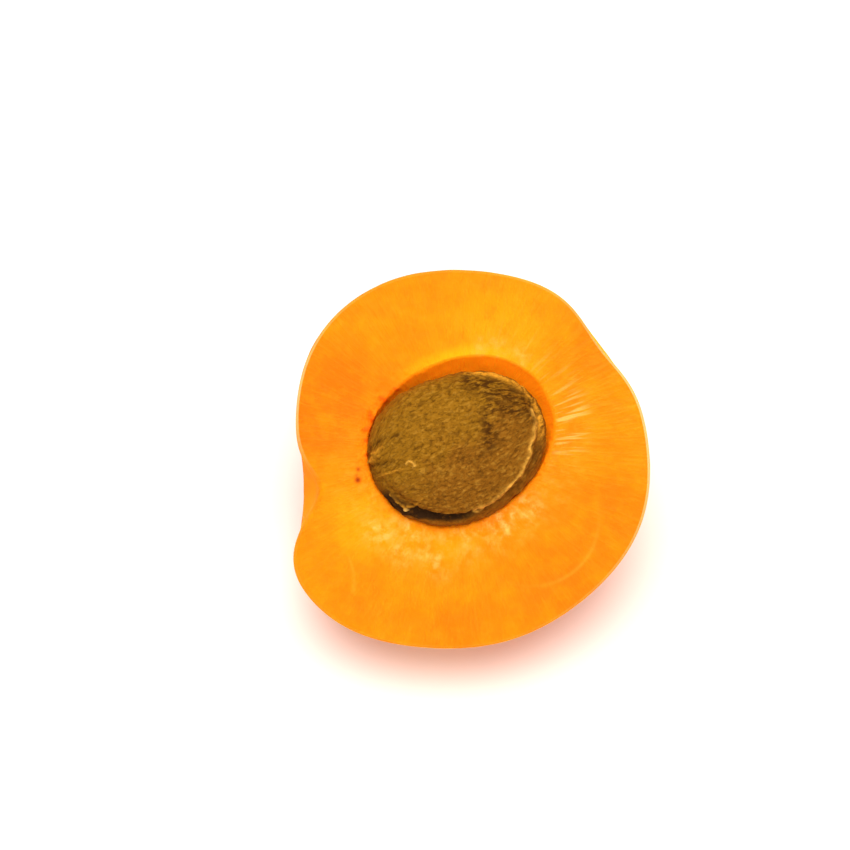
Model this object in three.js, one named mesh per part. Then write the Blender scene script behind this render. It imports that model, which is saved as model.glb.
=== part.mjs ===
// Half an apricot, cut through its seam, with the stone still lying in its bed.
//
// Units are millimetres and +Z is up. The half lies on its round cheek, on a small flat spot whose
// middle is the origin, and its cut face looks up and leans towards -Y.
//
// Both pieces are shaped in the fruit's own frame. Its z = 0 plane is the cut face, with the cheek below
// it. Its X axis is the fruit's axis, from the stem end at -X to the tip at +X. A bearing is an angle in
// the cut plane, counted from +X towards +Y. A latitude is counted from the cut plane, upwards positive.

import * as THREE from 'three';
import { mergeVertices } from 'three/addons/utils/BufferGeometryUtils.js';

// How the half lies: the fruit's axis is turned in the cut plane, then the cut face leans from level.
const AXIS_TURN = 25;
const FACE_LEAN = 25;
// The middle of the cut face, from the middle of the flat spot. Its height is 1 mm less than the cheek's
// depth that way, because the soft cheek is pressed flat where it rests.
const FACE_CENTRE = new THREE.Vector3(0, -0.6, 22.4);

// The cut face is an uneven round: a mean radius and waves round it, each with a crest at a bearing.
const FACE_RADIUS = 24.9;
const FACE_WAVES = [
  { count: 2, height: 0.89, crest: 43 },
  { count: 3, height: 0.81, crest: -31 },
  { count: 4, height: 0.73, crest: 20.5 },
  { count: 5, height: 0.24, crest: -30 },
  { count: 6, height: 0.19, crest: 15.5 },
];
// The cheek's depth below the cut face. Its shoulders swell towards one bearing and shrink opposite it.
const CHEEK_DEPTH = 24;
const CHEEK_SWELL = { bearing: 65, height: 0.9 };

// Hollows in the skin, each a bearing in the cut plane, a depth and an angular spread. The shoulder
// beside the stem hollow stands proud, so its depth is below zero.
const STEM_HOLLOW = { bearing: 167.5, depth: 3.8, spread: 12 };
const STEM_SHOULDER = { bearing: 186, depth: -0.5, spread: 11 };
const TIP_DIMPLE = { bearing: 15.5, depth: 2.2, spread: 16 };

// The stone is a flattened oval, a little off the middle of the cut face. Its own middle plane stands
// just proud of the face.
const STONE_CENTRE = new THREE.Vector3(-0.2, 2, 0.4);
const STONE_RADIUS = 10.7;
const STONE_WAVES = [
  { count: 2, height: 1.12, crest: -3.5 },
  { count: 3, height: 0.25, crest: 10 },
];
const STONE_THICKNESS = 11.6;
// One long edge is its seam: a keel in the middle, and a furrow and then a raised ridge on each side of
// it. The latitudes and heights are given at the tip end and at the stem end of that edge.
const SEAM = { bearing: -85, full: 60, reach: 105 };
const SEAM_LINES = [
  { name: 'keel', latitude: [0, 0], height: [0.15, 0.15], spread: 6 },
  { name: 'furrow', latitude: [19, 13], height: [-0.6, -1], spread: 7 },
  { name: 'ridge', latitude: [35, 26], height: [0.5, 0.35], spread: 6 },
];

// The bed is the stone's oval with room round it, most where the flesh has come away from the stone.
const BED_GAP = { least: 0.45, most: 1.95, widest: 45, narrowing: 5 };
const BED_FLOOR_GAP = 0.4;

// How finely each shape is divided: columns round it, and rows from pole to pole. A crowding above 1
// draws the rows together at the equator.
const FRUIT_GRID = { columns: 72, rows: 40, crowding: 1 };
const STONE_GRID = { columns: 64, rows: 26, crowding: 1.4 };
// The fruit's rows from its equator upwards cross the cut face up to this latitude, and then line the bed.
const FACE_SPAN = 18;

const radians = THREE.MathUtils.degToRad;

/** A smooth hill of height 1 at distance 0, falling away over the spread. */
function hill(distance, spread) {
  return Math.exp(-((distance / spread) ** 2));
}

/** The turn in degrees from one bearing to another, between -180 and 180. */
function turnFrom(bearing, other) {
  return THREE.MathUtils.euclideanModulo(other - bearing + 180, 360) - 180;
}

/** A mean radius with waves round it, which fade towards the poles, those with most crests first. */
function wavyRadius(mean, waves, bearing, flatness = 1) {
  return waves.reduce(
    (radius, { count, height, crest }) =>
      radius + height * Math.cos(radians(count * (bearing - crest))) * flatness ** count,
    mean,
  );
}

/** The unit vector at a bearing and a latitude. */
function direction(bearing, latitude) {
  return new THREE.Vector3(1, 0, 0)
    .applyAxisAngle(new THREE.Vector3(0, -1, 0), radians(latitude))
    .applyAxisAngle(new THREE.Vector3(0, 0, 1), radians(bearing));
}

/** The turn from the fruit's own frame to how the half lies. */
function lyingTurn() {
  return new THREE.Quaternion().setFromEuler(new THREE.Euler(radians(FACE_LEAN), 0, radians(AXIS_TURN)));
}

/** A point on the skin: the cut face's uneven round, swept down to the cheek, less the hollows. */
function skinPoint(bearing, latitude) {
  const flatness = Math.cos(radians(latitude));
  const steepness = Math.sin(radians(latitude));
  const round = wavyRadius(FACE_RADIUS, FACE_WAVES, bearing, flatness);
  const towards = direction(bearing, latitude);
  const swell = CHEEK_SWELL.height * Math.cos(radians(bearing - CHEEK_SWELL.bearing));
  const hollows = [STEM_HOLLOW, STEM_SHOULDER, TIP_DIMPLE].reduce((depth, hollow) => {
    const away = THREE.MathUtils.radToDeg(towards.angleTo(direction(hollow.bearing, 0)));
    return depth + hollow.depth * hill(away, hollow.spread);
  }, 0);
  const radius = 1 / Math.hypot(flatness / round, steepness / CHEEK_DEPTH);
  return towards.multiplyScalar(radius + swell * Math.abs(Math.sin(radians(2 * latitude))) - hollows);
}

/** The skin pressed flat where it would reach below the surface that the half lies on. */
function pressedSkinPoint(bearing, latitude) {
  const point = skinPoint(bearing, latitude);
  const down = new THREE.Vector3(0, 0, -1).applyQuaternion(lyingTurn().invert());
  const below = Math.max(0, point.dot(down) - FACE_CENTRE.z);
  return point.addScaledVector(down, -below);
}

/** A point on a flattened oval round the stone's centre, with its own half thickness. */
function ovalPoint(bearing, latitude, radius, halfThickness) {
  return new THREE.Vector3(
    radius * Math.cos(radians(latitude)) * Math.cos(radians(bearing)),
    radius * Math.cos(radians(latitude)) * Math.sin(radians(bearing)),
    halfThickness * Math.sin(radians(latitude)),
  );
}

/** How far the seam edge's lines raise the stone's surface at a bearing and a latitude. */
function seamRelief(bearing, latitude) {
  const turn = turnFrom(SEAM.bearing, bearing);
  const share = 1 - THREE.MathUtils.smoothstep(Math.abs(turn), SEAM.full, SEAM.reach);
  const towardsStem = THREE.MathUtils.smoothstep(-turn, -SEAM.reach, SEAM.reach);
  return SEAM_LINES.reduce((relief, line) => {
    const centre = THREE.MathUtils.lerp(...line.latitude, towardsStem);
    const height = THREE.MathUtils.lerp(...line.height, towardsStem);
    return relief + share * height * hill(Math.abs(latitude) - centre, line.spread);
  }, 0);
}

/** A point on the stone. */
function stonePoint(bearing, latitude) {
  const relief = seamRelief(bearing, latitude);
  const radius = wavyRadius(STONE_RADIUS, STONE_WAVES, bearing) + relief;
  return ovalPoint(bearing, latitude, radius, STONE_THICKNESS / 2 + relief).add(STONE_CENTRE);
}

/** A point on the bed: level with the cut face at latitude 0, and on its floor at latitude -90. */
function bedPoint(bearing, latitude) {
  const openness = Math.cos(radians(turnFrom(BED_GAP.widest, bearing) / 2)) ** BED_GAP.narrowing;
  const gap = THREE.MathUtils.lerp(BED_GAP.least, BED_GAP.most, openness);
  const radius = wavyRadius(STONE_RADIUS, STONE_WAVES, bearing) + gap;
  const depth = STONE_THICKNESS / 2 + BED_FLOOR_GAP - STONE_CENTRE.z;
  return ovalPoint(bearing, latitude, radius, depth).add(STONE_CENTRE.clone().setZ(0));
}

/** A point on the half fruit: up the skin to the rim, in across the cut face, then down into the bed. */
function fruitPoint(bearing, latitude) {
  if (latitude <= 0) return pressedSkinPoint(bearing, latitude);
  if (latitude < FACE_SPAN) return skinPoint(bearing, 0).lerp(bedPoint(bearing, 0), latitude / FACE_SPAN);
  return bedPoint(bearing, (-90 * (latitude - FACE_SPAN)) / (90 - FACE_SPAN));
}

/** A closed surface: a sphere's vertices, moved to where place(bearing, latitude) puts them. */
function shapedSphere({ columns, rows, crowding }, place) {
  const sphere = new THREE.SphereGeometry(1, columns, rows);
  const { position, uv } = sphere.attributes;
  for (let i = 0; i < position.count; i++) {
    const bearing = 360 * (uv.getX(i) % 1);
    const height = 2 * uv.getY(i) - 1;
    const latitude = 90 * Math.sign(height) * Math.abs(height) ** crowding;
    position.setXYZ(i, ...place(bearing, latitude));
  }
  sphere.deleteAttribute('normal');
  sphere.deleteAttribute('uv');
  const closed = mergeVertices(sphere);
  closed.computeVertexNormals();
  return closed;
}

/** A named mesh with a plain finish. */
function makePiece(name, geometry, color, roughness) {
  const mesh = new THREE.Mesh(geometry, new THREE.MeshStandardMaterial({ color, roughness, metalness: 0 }));
  mesh.name = name;
  return mesh;
}

// The flesh and its skin are one grown piece. The stone lies loose in its bed.
const fruitHalf = makePiece('fruit_half', shapedSphere(FRUIT_GRID, fruitPoint), 0xfd9a10, 0.5);
const stone = makePiece('stone', shapedSphere(STONE_GRID, stonePoint), 0x935f16, 0.75);

const apricotHalf = new THREE.Group();
apricotHalf.add(fruitHalf, stone);
apricotHalf.quaternion.copy(lyingTurn());
apricotHalf.position.copy(FACE_CENTRE);

export default apricotHalf;
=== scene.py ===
"""Builds the looks of half an apricot, with its stone in its bed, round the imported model.

Sizes are in millimetres until a mesh is written, which is in metres. Both pieces are shaped in the
fruit's own frame: z = 0 is the cut face, with the cheek below it, and +X runs along the fruit's axis from
the stem end to the tip. A bearing is an angle in the cut plane, counted from +X towards +Y. A latitude is
counted from the cut plane, upwards positive. Angles are in degrees.
"""

import logging
from dataclasses import dataclass, field
from enum import Enum

import bpy
import numpy as np
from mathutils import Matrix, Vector, noise


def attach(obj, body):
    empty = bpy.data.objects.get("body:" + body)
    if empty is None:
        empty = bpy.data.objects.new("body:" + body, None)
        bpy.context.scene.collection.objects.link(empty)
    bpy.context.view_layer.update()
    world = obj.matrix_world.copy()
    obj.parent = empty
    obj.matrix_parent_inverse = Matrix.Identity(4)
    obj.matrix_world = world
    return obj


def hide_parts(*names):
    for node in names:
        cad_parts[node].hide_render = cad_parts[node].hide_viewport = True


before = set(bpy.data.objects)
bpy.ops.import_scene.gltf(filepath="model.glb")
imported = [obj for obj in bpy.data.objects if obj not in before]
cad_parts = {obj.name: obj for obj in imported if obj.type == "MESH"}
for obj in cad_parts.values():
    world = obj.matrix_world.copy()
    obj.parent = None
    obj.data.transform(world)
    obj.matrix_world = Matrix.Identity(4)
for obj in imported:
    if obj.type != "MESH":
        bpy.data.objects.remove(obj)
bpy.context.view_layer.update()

LOG = logging.getLogger("apricot_half")
MM = 0.001
BODY = "root"
STEM_BEARING = 167.5

Colour = tuple[float, float, float, float]


class Slot(Enum):
    """The record's material slots."""

    FLESH = "flesh"
    STONE = "stone_shell"


def hill(distance: np.ndarray, spread: float) -> np.ndarray:
    """A smooth hill of height 1 at distance 0, falling away over the spread."""
    return np.exp(-((distance / spread) ** 2))


def progress(value: np.ndarray, start: float, end: float) -> np.ndarray:
    """How far each value has gone from start to end, between 0 and 1."""
    return np.clip((value - start) / (end - start), 0.0, 1.0)


def smooth_step(value: np.ndarray, low: float, high: float) -> np.ndarray:
    """0 up to low, 1 from high, and a smooth rise between them."""
    share = progress(value, low, high)
    return share * share * (3.0 - 2.0 * share)


def turn_from(bearing: float, other: np.ndarray) -> np.ndarray:
    """The turn from one bearing to another, between -180 and 180."""
    return np.mod(other - bearing + 180.0, 360.0) - 180.0


def cosine(angle: np.ndarray) -> np.ndarray:
    """The cosine of an angle in degrees."""
    return np.cos(np.radians(angle))


def sine(angle: np.ndarray) -> np.ndarray:
    """The sine of an angle in degrees."""
    return np.sin(np.radians(angle))


def direction(bearing: np.ndarray, latitude: np.ndarray) -> np.ndarray:
    """Unit vectors, one a row, at each bearing and latitude."""
    flat = cosine(latitude)
    return np.column_stack([flat * cosine(bearing), flat * sine(bearing), sine(latitude)])


def bearing_of(points: np.ndarray) -> np.ndarray:
    """Each point's bearing."""
    return np.degrees(np.arctan2(points[:, 1], points[:, 0]))


def angle_from(bearing: float, towards: np.ndarray) -> np.ndarray:
    """The angle between a bearing in the cut plane and each unit vector."""
    axis = direction(np.array([bearing]), np.array([0.0]))[0]
    return np.degrees(np.arccos(np.clip(towards @ axis, -1.0, 1.0)))


def lerp(start: np.ndarray, end: np.ndarray, share: np.ndarray) -> np.ndarray:
    """The value that lies a share of the way from start to end."""
    return start + (end - start) * share


@dataclass(frozen=True)
class Wave:
    """A wave round a shape: its number of crests, their height, and the bearing of one of them."""

    count: int
    height: float
    crest: float


@dataclass(frozen=True)
class Round:
    """An uneven round: a mean radius with waves round it."""

    mean: float
    waves: tuple[Wave, ...]

    def radius(self, bearing: np.ndarray, flatness: np.ndarray | float = 1.0) -> np.ndarray:
        """The radius at each bearing.

        Args:
            bearing: Where round the shape.
            flatness: The latitude's cosine. Waves fade as it falls, those with most crests first.

        Returns:
            One radius for each bearing.
        """
        total = np.full(np.shape(bearing), self.mean)
        for wave in self.waves:
            total = total + wave.height * cosine(wave.count * (bearing - wave.crest)) * flatness**wave.count
        return total


@dataclass(frozen=True)
class Hollow:
    """A hollow in the skin at a bearing in the cut plane, or a swelling where its depth is below zero."""

    bearing: float
    depth: float
    spread: float


@dataclass(frozen=True)
class Side:
    """One side of a round shape: its middle's bearing, its spread, and how strong it is."""

    bearing: float
    spread: float
    strength: float = 1.0

    def nearness(self, bearing: np.ndarray) -> np.ndarray:
        """The side's strength in its middle, falling to 0 away from it."""
        return self.strength * hill(turn_from(self.bearing, bearing), self.spread)


@dataclass(frozen=True)
class Band:
    """A band of distances or turns, with the stretches over which it starts and ends."""

    start: tuple[float, float]
    end: tuple[float, float]

    def share(self, value: np.ndarray) -> np.ndarray:
        """1 inside the band and 0 outside it."""
        return smooth_step(value, *self.start) * (1.0 - smooth_step(value, *self.end))


@dataclass(frozen=True)
class Spot:
    """A soft round spot on the cut face."""

    x: float
    y: float
    size: float
    strength: float


def spotted(spots: tuple[Spot, ...], points: np.ndarray) -> np.ndarray:
    """The strengths of all the spots together, at each point.

    Args:
        spots: The spots.
        points: Points in the fruit's own frame.

    Returns:
        One number for each point.
    """
    total = np.zeros(len(points))
    for spot in spots:
        away = np.hypot(points[:, 0] - spot.x, points[:, 1] - spot.y)
        total = total + spot.strength * hill(away, spot.size)
    return total


@dataclass(frozen=True)
class Lying:
    """How the half lies: turned in the cut plane, leaning from level, with its face's middle at a place."""

    turn: float = 25.0
    lean: float = 25.0
    face_centre: tuple[float, float, float] = (0.0, -0.6, 22.4)

    @property
    def axes(self) -> np.ndarray:
        """The fruit's own X, Y and Z axes in the row frame, one a row."""
        turn, lean = self.turn, self.lean
        x_axis = [cosine(turn), sine(turn) * cosine(lean), sine(turn) * sine(lean)]
        y_axis = [-sine(turn), cosine(turn) * cosine(lean), cosine(turn) * sine(lean)]
        return np.array([x_axis, y_axis, np.cross(x_axis, y_axis)])

    def placed(self, points: np.ndarray) -> np.ndarray:
        """Points of the fruit's own frame, in millimetres, as places in the row frame, in metres."""
        return (points @ self.axes + np.array(self.face_centre)) * MM


@dataclass(frozen=True)
class SkinShape:
    """The outside of the fruit."""

    round: Round = Round(
        24.9,
        (
            Wave(2, 0.89, 43.0),
            Wave(3, 0.81, -31.0),
            Wave(4, 0.73, 20.5),
            Wave(5, 0.24, -30.0),
            Wave(6, 0.19, 15.5),
        ),
    )
    cheek_depth: float = 24.0
    swell_bearing: float = 65.0
    swell_height: float = 0.9
    stem_hollow: Hollow = Hollow(STEM_BEARING, 3.8, 12.0)
    stem_shoulder: Hollow = Hollow(186.0, -0.5, 11.0)
    tip_dimple: Hollow = Hollow(15.5, 2.2, 16.0)

    def points(self, bearing: np.ndarray, latitude: np.ndarray) -> np.ndarray:
        """Points on the skin: the cut face's uneven round, swept down to the cheek, less the hollows.

        Args:
            bearing: Each point's bearing.
            latitude: Each point's latitude, from -90, the middle of the cheek, to 0, the rim.

        Returns:
            Points in the fruit's own frame.
        """
        flatness = cosine(latitude)
        steepness = sine(latitude)
        round_radius = self.round.radius(bearing, flatness)
        radius = 1.0 / np.hypot(flatness / round_radius, steepness / self.cheek_depth)
        swell = self.swell_height * cosine(bearing - self.swell_bearing)
        radius = radius + swell * np.abs(sine(2.0 * latitude))
        towards = direction(bearing, latitude)
        for hollow in (self.stem_hollow, self.stem_shoulder, self.tip_dimple):
            radius = radius - hollow.depth * hill(angle_from(hollow.bearing, towards), hollow.spread)
        return towards * radius[:, None]


@dataclass(frozen=True)
class SeamLine:
    """A keel, furrow or ridge along the stone's seam edge, given at the tip end and at the stem end."""

    latitudes: tuple[float, float]
    heights: tuple[float, float]
    spread: float

    def relief(self, latitude: np.ndarray, towards_stem: np.ndarray) -> np.ndarray:
        """How far the line raises the surface."""
        near = hill(np.abs(latitude) - lerp(*self.latitudes, towards_stem), self.spread)
        return lerp(*self.heights, towards_stem) * near


@dataclass(frozen=True)
class StoneShape:
    """The flattened oval of the stone, with its seam edge."""

    centre: tuple[float, float, float] = (-0.2, 2.0, 0.4)
    round: Round = Round(10.7, (Wave(2, 1.12, -3.5), Wave(3, 0.25, 10.0)))
    thickness: float = 11.6
    seam_bearing: float = -85.0
    seam_full: float = 60.0
    seam_reach: float = 105.0
    keel: SeamLine = SeamLine((0.0, 0.0), (0.15, 0.15), 6.0)
    furrow: SeamLine = SeamLine((19.0, 24.0), (-0.6, -1.1), 7.0)
    ridge: SeamLine = SeamLine((35.0, 33.0), (0.5, 0.0), 6.0)

    def seam_share(self, bearing: np.ndarray) -> np.ndarray:
        """1 along the seam edge, fading to 0 past its ends."""
        turn = np.abs(turn_from(self.seam_bearing, bearing))
        return 1.0 - smooth_step(turn, self.seam_full, self.seam_reach)

    def towards_stem(self, bearing: np.ndarray) -> np.ndarray:
        """How far along the seam edge a bearing is, from 0 at the tip end to 1 at the stem end."""
        return smooth_step(-turn_from(self.seam_bearing, bearing), -self.seam_reach, self.seam_reach)

    def points(self, bearing: np.ndarray, latitude: np.ndarray) -> np.ndarray:
        """Points on the stone.

        Args:
            bearing: Each point's bearing from the stone's middle.
            latitude: Each point's latitude.

        Returns:
            Points in the fruit's own frame.
        """
        along = self.towards_stem(bearing)
        lines = (self.keel, self.furrow, self.ridge)
        relief = self.seam_share(bearing) * sum(line.relief(latitude, along) for line in lines)
        oval = direction(bearing, latitude)
        oval[:, :2] *= (self.round.radius(bearing) + relief)[:, None]
        oval[:, 2] *= self.thickness / 2.0 + relief
        return oval + np.array(self.centre)


@dataclass(frozen=True)
class BedShape:
    """The hollow that the stone leaves in the flesh."""

    stone: StoneShape = StoneShape()
    least_gap: float = 0.06
    most_gap: float = 2.0
    widest: float = 45.0
    narrowing: float = 5.0
    floor_gap: float = 0.3
    # The wall leaves the mouth's rounded lip at one latitude, and has closed on the stone at the other.
    lip_latitude: float = -2.0
    closed_latitude: float = -18.0
    closed_gap: float = 0.15

    def mouth_radius(self, bearing: np.ndarray) -> np.ndarray:
        """The mouth's radius from the stone's middle."""
        openness = cosine(turn_from(self.widest, bearing) / 2.0) ** self.narrowing
        return self.stone.round.radius(bearing) + lerp(self.least_gap, self.most_gap, openness)

    def points(self, bearing: np.ndarray, latitude: np.ndarray) -> np.ndarray:
        """Points on the bed's wall and floor.

        Args:
            bearing: Each point's bearing from the stone's middle.
            latitude: Each point's latitude, from the lip's to -90, the middle of the floor.

        Returns:
            Points in the fruit's own frame.
        """
        oval = direction(bearing, latitude)
        closed = self.stone.round.radius(bearing) + self.closed_gap
        openness = 1.0 - progress(latitude, self.lip_latitude, self.closed_latitude)
        oval[:, :2] *= lerp(closed, self.mouth_radius(bearing), openness)[:, None]
        oval[:, 2] *= self.stone.thickness / 2.0 + self.floor_gap - self.stone.centre[2]
        return oval + np.array([*self.stone.centre[:2], 0.0])


def ring(centre: tuple[float, float], bearing: np.ndarray, radius: np.ndarray,
         height: np.ndarray) -> np.ndarray:
    """Points round a centre in the cut plane, at each bearing's radius and height."""
    return np.column_stack([centre[0] + radius * cosine(bearing), centre[1] + radius * sine(bearing), height])


@dataclass(frozen=True)
class Mark:
    """A ridge, furrow or streak on a surface, along a smooth line through places in its plane."""

    places: tuple[tuple[float, float], ...]
    widths: tuple[float, float]
    height: float = 0.0
    steps: int = 6

    def line(self) -> np.ndarray:
        """Follows the places in a smooth curve.

        Returns:
            The curve's points.
        """
        ends = np.array([self.places[0], *self.places, self.places[-1]])
        share = np.linspace(0.0, 1.0, self.steps, endpoint=False)[:, None]
        stretches = []
        for before, start, end, after in zip(ends, ends[1:], ends[2:], ends[3:]):
            bend = 2.0 * before - 5.0 * start + 4.0 * end - after
            twist = 3.0 * start - before - 3.0 * end + after
            stretches.append(start + 0.5 * ((end - before) * share + bend * share**2 + twist * share**3))
        return np.vstack([*stretches, ends[-1:]])

    def nearness(self, points: np.ndarray) -> np.ndarray:
        """1 on the line, falling to 0 away from it.

        Args:
            points: Points whose first two coordinates are in the line's plane.

        Returns:
            One number for each point.
        """
        line = self.line()
        widths = np.linspace(*self.widths, len(line))
        nearness = np.zeros(len(points))
        for start, end, width in zip(line, line[1:], widths):
            nearness = np.maximum(nearness, hill(distance_to(points[:, :2], start, end), width))
        return nearness


def nearest(marks: tuple[Mark, ...], points: np.ndarray) -> np.ndarray:
    """1 on any of the marks, falling to 0 away from them all."""
    return np.max([mark.nearness(points) for mark in marks], axis=0)


def distance_to(points: np.ndarray, start: np.ndarray, end: np.ndarray) -> np.ndarray:
    """Each point's distance from a straight line between two places in the plane.

    Args:
        points: Points in the plane.
        start: The line's first end.
        end: The line's other end.

    Returns:
        One distance for each point.
    """
    line = end - start
    share = np.clip((points - start) @ line / (line @ line), 0.0, 1.0)
    return np.linalg.norm(points - start - share[:, None] * line, axis=1)


def noise_at(points: np.ndarray, size: float, octaves: int = 3) -> np.ndarray:
    """Cloudy noise at each point, from about -1 to 1.

    Args:
        points: Where, in millimetres.
        size: How wide the lumps are, in millimetres.
        octaves: How many sizes are laid over one another, each half the one before.

    Returns:
        One number for each point.
    """
    return np.array([noise.fractal(Vector(point), 1.0, 2.0, octaves) for point in points / size])


def deselect_all() -> None:
    """Leaves nothing selected, in object mode."""
    if bpy.context.mode != "OBJECT":
        bpy.ops.object.mode_set(mode="OBJECT")
    bpy.ops.object.select_all(action="DESELECT")


def add_sphere(name: str, columns: int, rows: int,
               cuts: int) -> tuple[bpy.types.Object, np.ndarray, np.ndarray]:
    """Adds a unit sphere to be shaped.

    Args:
        name: The piece's name.
        columns: Divisions round it, before its faces are cut.
        rows: Divisions from pole to pole, before its faces are cut.
        cuts: Cuts across each face, each way.

    Returns:
        The object, and each vertex's bearing and latitude.
    """
    deselect_all()
    bpy.ops.mesh.primitive_uv_sphere_add(segments=columns, ring_count=rows, radius=1.0)
    bpy.ops.object.mode_set(mode="EDIT")
    bpy.ops.mesh.subdivide(number_cuts=cuts)
    bpy.ops.object.mode_set(mode="OBJECT")
    piece = bpy.context.active_object
    piece.name = name
    piece.data.name = name
    flat = np.empty(3 * len(piece.data.vertices))
    piece.data.vertices.foreach_get("co", flat)
    x, y, z = flat.reshape(-1, 3).T
    return piece, np.degrees(np.arctan2(y, x)), np.degrees(np.arctan2(z, np.hypot(x, y)))


def set_points(piece: bpy.types.Object, points: np.ndarray) -> None:
    """Moves a piece's vertices to points in the row frame, in metres."""
    piece.data.vertices.foreach_set("co", points.ravel())
    piece.data.update()


def paint(piece: bpy.types.Object, name: str, values: np.ndarray) -> None:
    """Keeps one number for each vertex, for a material to read."""
    piece.data.attributes.new(name, "FLOAT", "POINT").data.foreach_set("value", values.astype(np.float32))


def paint_vectors(piece: bpy.types.Object, name: str, values: np.ndarray) -> None:
    """Keeps one vector for each vertex, for a material to read."""
    layer = piece.data.attributes.new(name, "FLOAT_VECTOR", "POINT")
    layer.data.foreach_set("vector", values.astype(np.float32).ravel())


def roughen(piece: bpy.types.Object, size: float, height: float, where: np.ndarray,
            levels: int = 10) -> None:
    """Raises cloudy lumps on a piece.

    Args:
        piece: The piece, with its vertices in the row frame.
        size: How wide the lumps are, in millimetres.
        height: How far the highest stands above the lowest, in millimetres.
        where: For each vertex, how much of that height it gets.
        levels: How many steps that share is rounded to.
    """
    texture = bpy.data.textures.new(f"{piece.name}_clouds_{size}", "CLOUDS")
    texture.noise_scale = size * MM
    texture.noise_depth = 2
    group = piece.vertex_groups.new(name="where")
    steps = np.round(where * levels)
    for step in range(1, levels + 1):
        group.add(np.nonzero(steps == step)[0].tolist(), step / levels, "REPLACE")
    modifier = piece.modifiers.new("lumps", "DISPLACE")
    modifier.texture = texture
    modifier.texture_coords = "LOCAL"
    modifier.mid_level = 0.5
    modifier.strength = height * MM
    modifier.vertex_group = group.name
    bpy.context.view_layer.objects.active = piece
    bpy.ops.object.modifier_apply(modifier=modifier.name)
    piece.vertex_groups.clear()


class Shader:
    """A material's node tree, with short ways to add what the finishes need."""

    def __init__(self, name: str) -> None:
        """Starts a material with its Principled shader.

        Args:
            name: The material's name.
        """
        self.material = bpy.data.materials.new(name)
        self.material.use_nodes = True
        self.nodes = self.material.node_tree.nodes
        self.links = self.material.node_tree.links
        self.surface = self.nodes["Principled BSDF"]

    def feed(self, socket: bpy.types.NodeSocket, value: object) -> None:
        """Gives an input a value, or links it to the socket that feeds it.

        Args:
            socket: The input.
            value: A value or a socket.
        """
        if isinstance(value, bpy.types.NodeSocket):
            self.links.new(value, socket)
        else:
            socket.default_value = value

    def add(self, kind: str, inputs: dict[str | int, object] | None = None,
            **settings: object) -> bpy.types.Node:
        """Adds a node.

        Args:
            kind: The node's type, without its ShaderNode beginning.
            inputs: For each input's name or number, a value or the socket that feeds it.
            **settings: The node's own properties.

        Returns:
            The node.
        """
        node = self.nodes.new("ShaderNode" + kind)
        for name, value in settings.items():
            setattr(node, name, value)
        for key, value in (inputs or {}).items():
            self.feed(node.inputs[key], value)
        return node

    def place(self) -> bpy.types.NodeSocket:
        """The point being shaded, in the row frame, in millimetres."""
        coordinates = self.add("TexCoord").outputs["Object"]
        return self.add("VectorMath", {0: coordinates, "Scale": 1.0 / MM}, operation="SCALE").outputs[0]

    def painted(self, name: str) -> bpy.types.NodeSocket:
        """A number kept for each vertex."""
        return self.add("Attribute", attribute_name=name).outputs["Fac"]

    def painted_vector(self, name: str) -> bpy.types.NodeSocket:
        """A vector kept for each vertex."""
        return self.add("Attribute", attribute_name=name).outputs["Vector"]

    def within(self, name: str, pattern: bpy.types.NodeSocket) -> bpy.types.NodeSocket:
        """A pattern, as strong as a number kept for each vertex lets it be."""
        return self.math("MULTIPLY", pattern, self.painted(name))

    def clouds(self, vector: bpy.types.NodeSocket, size: float, detail: float = 3.0, roughness: float = 0.5,
              distortion: float = 0.0) -> bpy.types.NodeSocket:
        """Cloudy noise, between 0 and 1.

        Args:
            vector: Where, in millimetres.
            size: About how wide the clouds are.
            detail: How many finer sizes are laid over the first.
            roughness: How strong each finer size is beside the one before.
            distortion: How far the clouds are twisted.

        Returns:
            A number.
        """
        inputs = {
            "Vector": vector,
            "Scale": 1.0 / size,
            "Detail": detail,
            "Roughness": roughness,
            "Distortion": distortion,
        }
        return self.add("TexNoise", inputs).outputs[0]

    def cells(self, vector: bpy.types.NodeSocket, size: float) -> bpy.types.NodeSocket:
        """The distance from the middle of the nearest of many cells, about one size apart."""
        return self.add("TexVoronoi", {"Vector": vector, "Scale": 1.0 / size}).outputs["Distance"]

    def span(self, value: bpy.types.NodeSocket, low: float, high: float, start: float = 0.0,
             end: float = 1.0) -> bpy.types.NodeSocket:
        """A value from low to high, read as one that goes smoothly from start to end."""
        inputs = {"Value": value, "From Min": low, "From Max": high, "To Min": start, "To Max": end}
        return self.add("MapRange", inputs, interpolation_type="SMOOTHSTEP").outputs["Result"]

    def math(self, operation: str, first: object, second: object = 0.0) -> bpy.types.NodeSocket:
        """A sum on one or two numbers."""
        return self.add("Math", {0: first, 1: second}, operation=operation).outputs[0]

    def mix(self, share: object, first: object, second: object) -> bpy.types.NodeSocket:
        """A colour that goes from the first to the second as the share goes from 0 to 1."""
        return self.add("Mix", {0: share, 6: first, 7: second}, data_type="RGBA").outputs[2]

    def bump(self, height: bpy.types.NodeSocket, distance: float,
             under: bpy.types.NodeSocket | None = None) -> bpy.types.NodeSocket:
        """Shows a height as relief.

        Args:
            height: A number from 0 to 1.
            distance: How far 1 stands above 0, in millimetres.
            under: The normal of the relief that this one lies on, if any.

        Returns:
            The normal.
        """
        node = self.add("Bump", {"Height": height, "Distance": distance * MM, "Strength": 1.0})
        if under is not None:
            self.links.new(under, node.inputs["Normal"])
        return node.outputs["Normal"]

    def finish(self, **inputs: object) -> bpy.types.Material:
        """Feeds the shader.

        Args:
            **inputs: Values or sockets. An underscore in a name stands for a space.

        Returns:
            The material.
        """
        for name, value in inputs.items():
            self.feed(self.surface.inputs[name.replace("_", " ")], value)
        return self.material


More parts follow.
